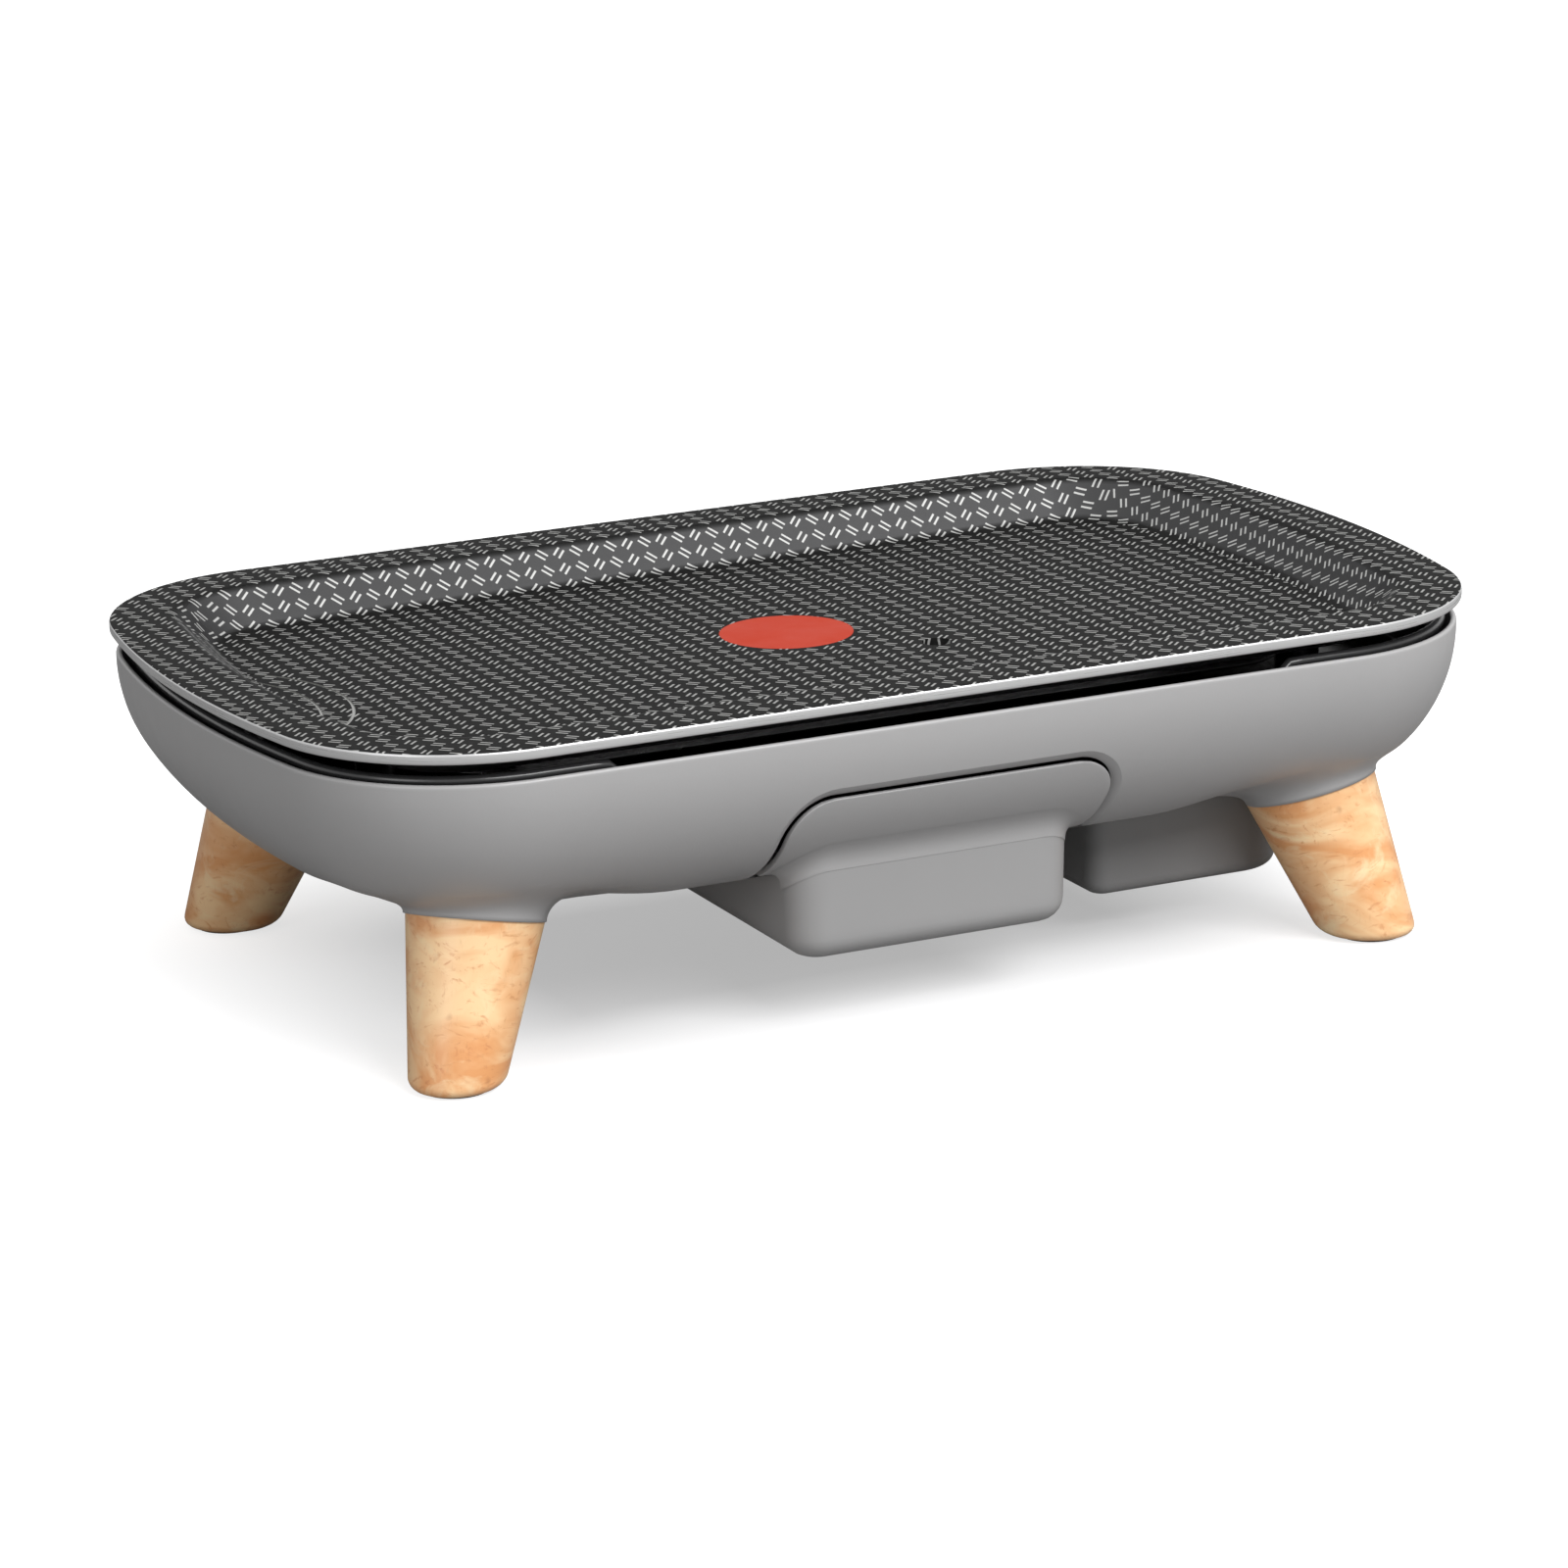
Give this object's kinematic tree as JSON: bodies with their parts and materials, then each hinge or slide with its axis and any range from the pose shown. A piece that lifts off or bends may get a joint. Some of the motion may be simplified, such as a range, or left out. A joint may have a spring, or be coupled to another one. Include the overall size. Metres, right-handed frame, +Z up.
{
  "type": "electric plancha",
  "caption": "Tabletop electric plancha: rounded cast plate with a sunk well on a bowl-shaped base with splayed wooden legs, front drip drawer and hidden heater.",
  "frame": {"origin": "on the table under the centre of the cooking plate", "axes": "+X along the plate's length to the right, the front with the drawer faces -Y, +Z up"},
  "size_m": [0.52, 0.319, 0.1387],
  "materials": {
    "nonstick_plate": "dark non-stick coat on cast aluminium, bare satin rim",
    "red_disc": "matte heat-sensitive coat",
    "grey_shell": "satin warm grey",
    "black_tray": "gloss black, heat resistant",
    "silicone": "matte",
    "dark_rubber": "matte",
    "bright_sheet": "bright rolled sheet",
    "heater_steel": "satin, slightly darkened",
    "ceramic": "matte ceramic white",
    "copper": "satin copper",
    "pale_wood": "oiled pale wood with burl figure",
    "zinc_steel": "bright zinc",
    "dark_plastic": "satin black",
    "amber_lens": "clear amber",
    "brass": "plain brass",
    "brown_wire": "satin insulation",
    "blue_wire": "satin insulation",
    "green_wire": "satin insulation"
  },
  "bodies": {
    "base": {"capillary_tube": "copper", "control_housing": "grey_shell", "drain_chute": "bright_sheet", "drawer_rail_left": "dark_plastic", "drawer_rail_right": "dark_plastic", "earth_wire": "green_wire", "foot_pad_back_left": "dark_rubber", "foot_pad_back_right": "dark_rubber", "foot_pad_front_left": "dark_rubber", "foot_pad_front_right": "dark_rubber", "heat_tray": "black_tray", "heater_bush_back": "ceramic", "heater_bush_front": "ceramic", "heater_clip_back_left": "heater_steel", "heater_clip_back_right": "heater_steel", "heater_clip_front_left": "heater_steel", "heater_clip_front_right": "heater_steel", "heater_live_wire": "brown_wire", "heater_neutral_wire": "blue_wire", "heater_tube": "heater_steel", "housing_screws": "zinc_steel", "inlet_pin_earth": "brass", "inlet_pin_live": "brass", "inlet_pin_neutral": "brass", "leg_back_left": "pale_wood", "leg_back_right": "pale_wood", "leg_front_left": "pale_wood", "leg_front_right": "pale_wood", "leg_nut_back_left": "zinc_steel", "leg_nut_back_right": "zinc_steel", "leg_nut_front_left": "zinc_steel", "leg_nut_front_right": "zinc_steel", "leg_stud_back_left": "zinc_steel", "leg_stud_back_right": "zinc_steel", "leg_stud_front_left": "zinc_steel", "leg_stud_front_right": "zinc_steel", "live_wire": "brown_wire", "mains_inlet": "dark_plastic", "neutral_wire": "blue_wire", "pilot_lamp": "dark_plastic", "pilot_lens": "amber_lens", "rail_screws": "zinc_steel", "reflector": "bright_sheet", "rest_pad_back_left": "silicone", "rest_pad_back_right": "silicone", "rest_pad_front_left": "silicone", "rest_pad_front_right": "silicone", "sensor_bulb": "heater_steel", "shell": "grey_shell", "terminal_block": "ceramic", "thermal_fuse": "zinc_steel", "thermostat": "dark_plastic", "tray_screws": "zinc_steel"},
    "plate": {"cooking_plate": "nonstick_plate", "heat_indicator_disc": "red_disc"},
    "drawer": {"drip_drawer": "grey_shell"},
    "dial": {"thermostat_knob": "dark_plastic", "knob_shaft": "zinc_steel"}
  },
  "joints": [
    {"name": "plate_lift", "type": "slide", "parent": "base", "child": "plate", "axis": [0, 0, 1], "range_m": [0, 0.06]},
    {"name": "drawer_slide", "type": "slide", "parent": "base", "child": "drawer", "axis": [0, -1, 0], "range_m": [0, 0.11]},
    {"name": "knob_turn", "type": "hinge", "parent": "base", "child": "dial", "pos_m": [0.188, 0.02, 0.039], "axis": [-1, 0, 0], "range_deg": [0, 270]}
  ]
}
